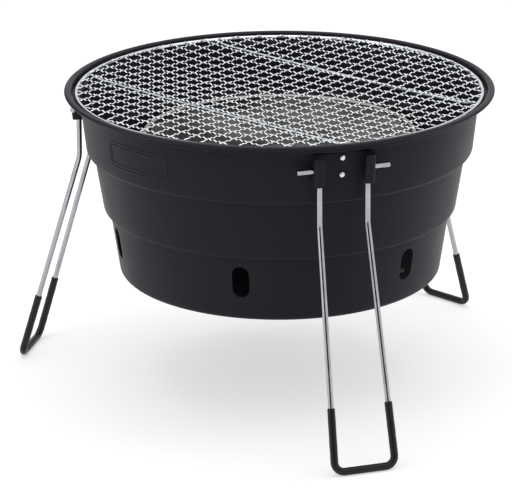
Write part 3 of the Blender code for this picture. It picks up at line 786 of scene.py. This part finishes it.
def woven_wires(direction):
    """Middle lines of all the wires that run one way, as a stack, and the lengths along them.

    Each wire spans the hoop as a chord. Along it the height swings as a cosine with five half waves in each
    pitch of the wires that it crosses. Neighbours swing the opposite way, and so do the wires of the other
    direction, which makes the over-and-under weave. The swing dies out at the hoop. The whole mesh drops
    by the hang, less the side warp times x squared and the corner warp times x times y, all times the share
    that fades from one in the middle to nought at the hoop, where x and y are shares of the hoop's radius.
    """
    pitch, crossed_pitch = MESH_PITCHES[::direction]
    shift, crossed_shift = MESH_SHIFTS[::direction]
    reach = HOOP_RADIUS - MESH_INSET
    number = np.arange(math.ceil((-reach - shift) / pitch), math.floor((reach - shift) / pitch) + 1)
    offset = shift + number * pitch
    chord = np.sqrt(reach ** 2 - offset ** 2)
    rings = int(2 * reach / crossed_pitch) * MESH_RINGS_PER_PITCH + 1
    run = chord[:, None] * np.linspace(-1, 1, rings)
    crimp = np.cos(math.pi * (CRIMPS_PER_PITCH * (run - crossed_shift) / crossed_pitch + number[:, None]))
    fade = np.clip((chord[:, None] - np.abs(run)) / MESH_FLAT_END, 0, 1)
    across = offset[:, None] + 0 * run
    flat = [across, run] if direction > 0 else [run, across]
    path = at_station(np.stack(flat + [MESH_LEVEL + direction * CRIMP_RISE * crimp * fade], -1), MESH_TURN)
    x, y = np.moveaxis(path - BOWL_AXIS, -1, 0)[:2] / HOOP_RADIUS
    warped = MESH_HANG - MESH_SIDE_WARP * x ** 2 - MESH_CORNER_WARP * x * y
    path[..., 2] -= warped * np.maximum(1 - x ** 2 - y ** 2, 0)
    return path, run


for direction, way in ((1, "lengthwise"), (-1, "crosswise")):
    path, run = woven_wires(direction)
    rings = capped(carry(path, round_section(MESH_WIRE, MESH_SIDES), UP))
    ends = np.concatenate([run[:, :1], run, run[:, -1:]], 1)
    girth = np.linspace(0, 2 * math.pi * MESH_WIRE, MESH_SIDES + 1)
    mesh_uv = np.stack(np.broadcast_arrays(ends[..., None], girth), -1)
    wires = skin(f"woven_mesh_{way}", rings, uv=mesh_uv)
    fit(wires, grate_plating, "grate", "plated_grate_wire", "cooking_mesh")

# Studio: a pale floor under the grill, a white surround, soft lamps above and at the sides, and a camera
# with a long lens at the photograph's place. Three black cards stand round it, for bright metal to mirror.

scene = bpy.context.scene
scene.view_settings.view_transform = "Standard"

SURROUND_FILL = 0.55


def seen_or_mirrored(tree):
    """One on rays from the camera, mirrored rays and rays through glass, and nought on all other rays."""
    path = add_node(tree, "ShaderNodeLightPath").outputs
    bare = add_node(tree, "ShaderNodeMath", {0: path["Is Camera Ray"], 1: path["Is Glossy Ray"]},
                    operation="MAXIMUM")
    shown = add_node(tree, "ShaderNodeMath", {0: bare.outputs[0], 1: path["Is Transmission Ray"]},
                     operation="MAXIMUM")
    return shown.outputs[0]


world = bpy.data.worlds.new("white_surround")
world.use_nodes = True
scene.world = world
tree = world.node_tree
level = add_node(tree, "ShaderNodeMapRange", {"Value": seen_or_mirrored(tree), "To Min": SURROUND_FILL,
                                              "To Max": 1.0})
tree.links.new(level.outputs["Result"], tree.nodes["Background"].inputs["Strength"])
tree.nodes["Background"].inputs["Color"].default_value = linear("#ffffff")

FLOOR_REACH = 6.0
PAPER_LIFT = 0.52
floor_turn = np.linspace(0, 2 * math.pi, 64, endpoint=False)
floor_radius = np.array([0.0, FLOOR_REACH])[:, None]
floor = skin("studio_floor", np.stack([floor_radius * np.sin(floor_turn), floor_radius * np.cos(floor_turn),
                                       0 * floor_radius * floor_turn], -1))
# Matt white paper sweep, lifted to white where it is seen or mirrored and shaded where the grill stands.
paper, tree, shader = new_material("white_paper_sweep", Base_Color=linear("#e6e6e6"), Roughness=0.9,
                                   Specular_IOR_Level=0.0, Emission_Color=linear("#ffffff"))
lift = add_node(tree, "ShaderNodeMath", {0: seen_or_mirrored(tree), 1: PAPER_LIFT}, operation="MULTIPLY")
tree.links.new(lift.outputs[0], shader.inputs["Emission Strength"])
floor.data.materials.append(paper)


def soft_lamp(name, width, height, power, place, aim):
    """A rectangular soft box that faces a point."""
    lamp = bpy.data.lights.new(name, "AREA")
    lamp.shape = "RECTANGLE"
    lamp.size, lamp.size_y = width, height
    lamp.energy = power
    holder = bpy.data.objects.new(name, lamp)
    holder.location = place
    holder.rotation_euler = (Vector(aim) - Vector(place)).to_track_quat("-Z", "Y").to_euler()
    holder.visible_camera = False
    scene.collection.objects.link(holder)


soft_lamp("top_soft_box", 1.8, 1.8, 12.5, (0, 0.2, 1.9), (0, 0, 0.1))
soft_lamp("left_soft_box", 0.9, 1.6, 4.8, (-1.7, -0.3, 0.9), (0, 0, 0.15))
soft_lamp("right_soft_box", 0.9, 1.6, 6, (1.7, -0.1, 0.9), (0, 0, 0.15))

# Black cotton on a frame, which gives bright wire a dark line along its middle and a dark edge. Each card
# has its half width and distance in metres, and its angle from the front in degrees.
cotton, _, _ = new_material("black_cotton", Base_Color=linear("#0d0d0e"), Roughness=1.0,
                            Specular_IOR_Level=0.0)
CARD_HEIGHTS = np.array([0.05, 2.2])
CARDS = {"behind_camera": (1.5, 3.0, -17), "left": (1.1, 2.4, -146), "right": (0.8, 2.4, 108)}
for name, (half_width, distance, angle) in CARDS.items():
    across = np.array([-half_width, half_width])[:, None]
    corners = np.stack(np.broadcast_arrays(across, -distance, CARD_HEIGHTS), -1)
    card = skin(f"black_card_{name}", at_station(corners, math.radians(angle)), closed_columns=False)
    card.data.materials.append(cotton)
    card.visible_camera = False

CAMERA_PLACE = BOWL_AXIS + (-0.62725, -2.03890, 0.87512)
CAMERA_AIM = BOWL_AXIS + (-0.02054, 0.00632, 0.11872)
CAMERA_ROLL = math.radians(-0.37)
CAMERA_LENS = 175.88
camera_data = bpy.data.cameras.new("photo_camera")
camera_data.sensor_fit = "HORIZONTAL"
camera_data.sensor_width = 36.0
camera_data.lens = CAMERA_LENS
camera = bpy.data.objects.new("photo_camera", camera_data)
camera.location = CAMERA_PLACE
camera.rotation_mode = "QUATERNION"
level_view = Vector(CAMERA_AIM - CAMERA_PLACE).to_track_quat("-Z", "Y")
camera.rotation_quaternion = level_view @ Quaternion((0, 0, 1), CAMERA_ROLL)
scene.collection.objects.link(camera)
scene.camera = camera
